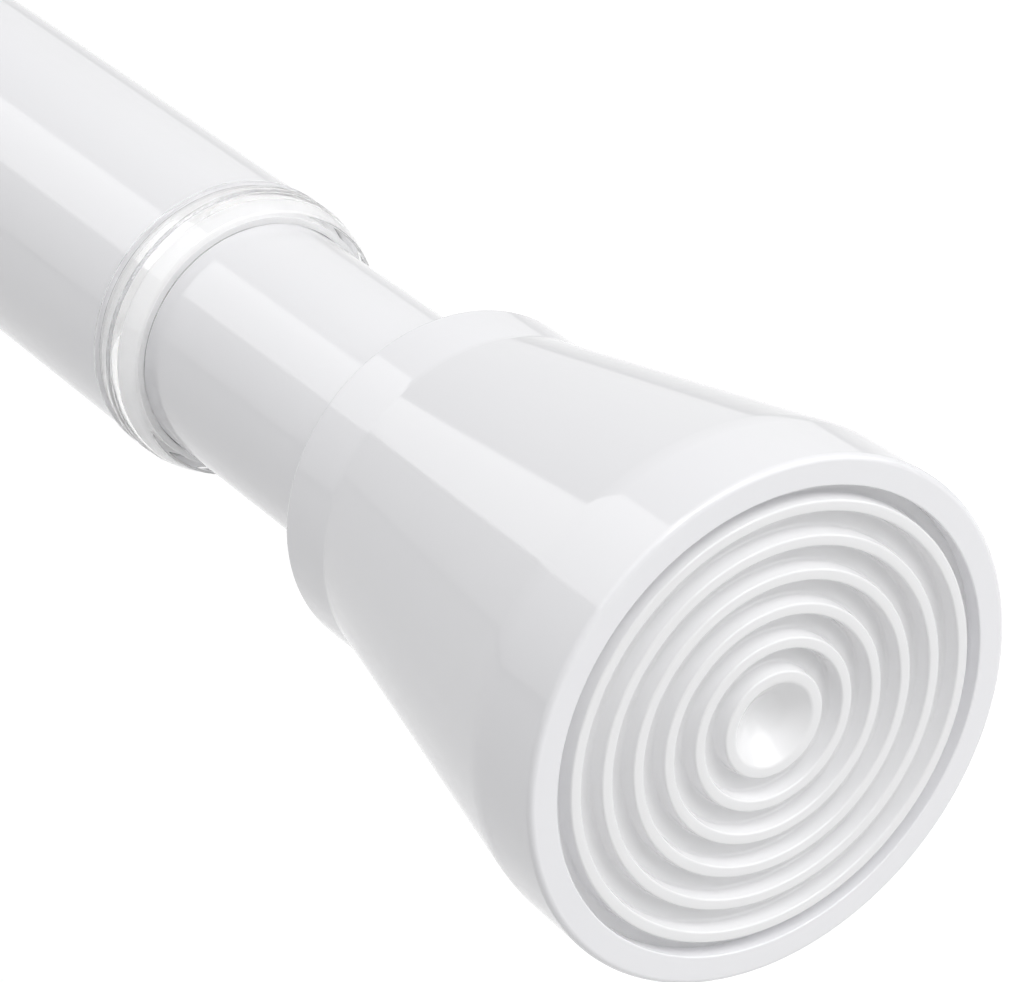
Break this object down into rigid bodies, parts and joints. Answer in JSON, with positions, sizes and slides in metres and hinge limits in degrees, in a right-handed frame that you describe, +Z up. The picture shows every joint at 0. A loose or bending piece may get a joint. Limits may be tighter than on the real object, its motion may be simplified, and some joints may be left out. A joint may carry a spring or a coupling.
{
  "type": "spring tension rod",
  "caption": "Telescoping white curtain tension rod with ribbed conical feet, a clear mouth collar and a sprung twist lock inside, wedged between two facing walls.",
  "frame": {"origin": "on the rod's axis, in the plane of the fixed foot's rim, where it meets the wall", "axes": "+X along the rod towards the moving foot, +Z up"},
  "size_m": [0.422, 0.0374, 0.0374],
  "materials": {
    "white_painted_steel": "smooth gloss white coating on thin rolled steel tube",
    "white_gloss_plastic": "glossy moulded",
    "white_rubber": "smooth soft moulded, slightly glossy",
    "clear_plastic": "clear, polished moulded",
    "natural_nylon": "natural moulded nylon",
    "zinc_steel": "bright zinc plated",
    "spring_steel": "drawn spring wire",
    "black_rubber": "moulded"
  },
  "bodies": {
    "outer_tube": {"outer_tube": "white_painted_steel", "clear_collar": "clear_plastic", "fixed_end_cap": "white_gloss_plastic", "fixed_foot_pad": "white_rubber"},
    "lock_sleeve": {"lock_sleeve": "natural_nylon", "drag_ring": "black_rubber"},
    "wedge": {"wedge_nut": "natural_nylon"},
    "lock_screw": {"lock_screw": "zinc_steel", "stop_nut": "zinc_steel", "seat_washer": "zinc_steel", "tension_spring": "spring_steel", "retaining_washer": "zinc_steel", "retaining_nut": "zinc_steel"},
    "inner_tube": {"inner_tube": "white_painted_steel", "tube_plug": "natural_nylon", "plug_washer": "zinc_steel", "moving_end_cap": "white_gloss_plastic", "moving_foot_pad": "white_rubber"}
  },
  "joints": [
    {"name": "telescope", "type": "slide", "parent": "outer_tube", "child": "lock_sleeve", "axis": [1, 0, 0], "range_m": [0, 0.188]},
    {"name": "twist", "type": "hinge", "parent": "lock_sleeve", "child": "lock_screw", "pos_m": [0.055, 0, 0], "axis": [1, 0, 0], "range_deg": [0, 540]},
    {"name": "wedge_travel", "type": "slide", "parent": "lock_sleeve", "child": "wedge", "axis": [1, 0, 0], "range_m": [-0.0019, 0]},
    {"name": "spring_stroke", "type": "slide", "parent": "lock_screw", "child": "inner_tube", "axis": [1, 0, 0], "range_m": [-0.016, 0], "stiffness_N_per_m": 5600, "deforming": ["tension_spring"]}
  ],
  "couplings": [
    {"joint": "wedge_travel", "follows": "twist", "m_per_rad": -0.00019894}
  ]
}
